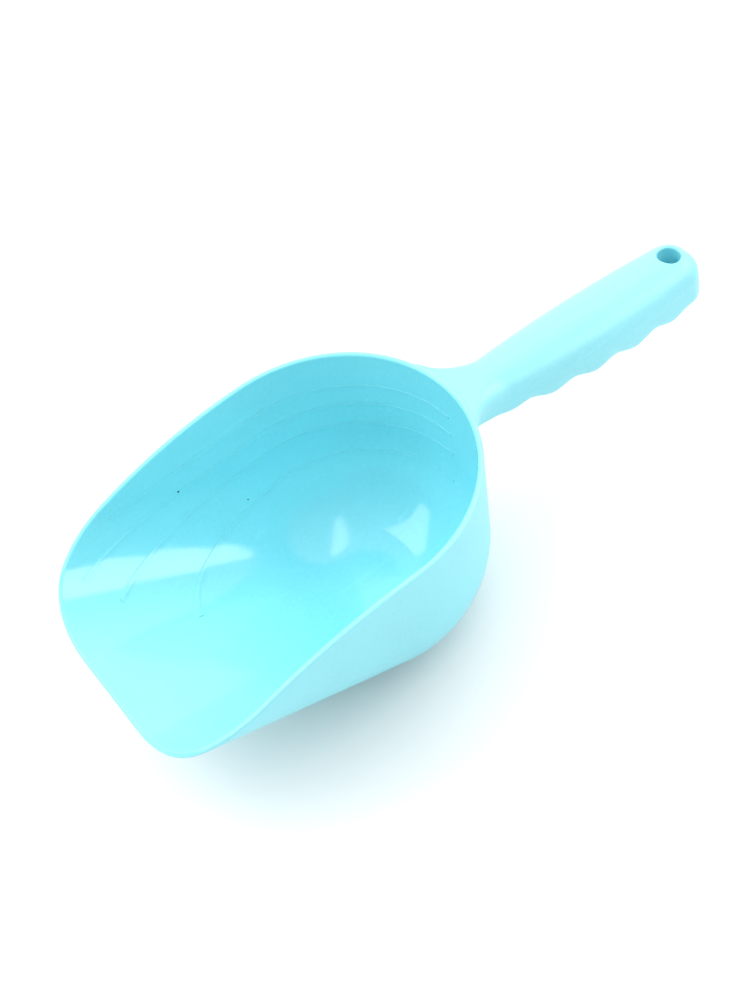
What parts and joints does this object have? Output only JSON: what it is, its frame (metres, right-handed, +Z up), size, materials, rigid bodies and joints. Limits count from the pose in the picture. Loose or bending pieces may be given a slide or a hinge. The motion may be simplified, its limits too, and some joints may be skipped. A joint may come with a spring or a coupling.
{
  "type": "feed scoop",
  "caption": "Hand scoop with a deep round-backed bowl, a floor that ramps up to a wide lip, and a finger-grooved grip with a hang hole.",
  "frame": {"origin": "centre of the round back of the bowl, on the underside of its flat foot", "axes": "+X runs from the bowl towards the hang hole, +Y is left seen from the grip, +Z is up out of the bowl"},
  "size_m": [0.2681, 0.1118, 0.075],
  "materials": {
    "scoop_plastic": "gloss",
    "cover_plastic": "gloss"
  },
  "bodies": {
    "root": {"scoop_moulding": "scoop_plastic", "grip_cover": "cover_plastic"}
  },
  "joints": []
}
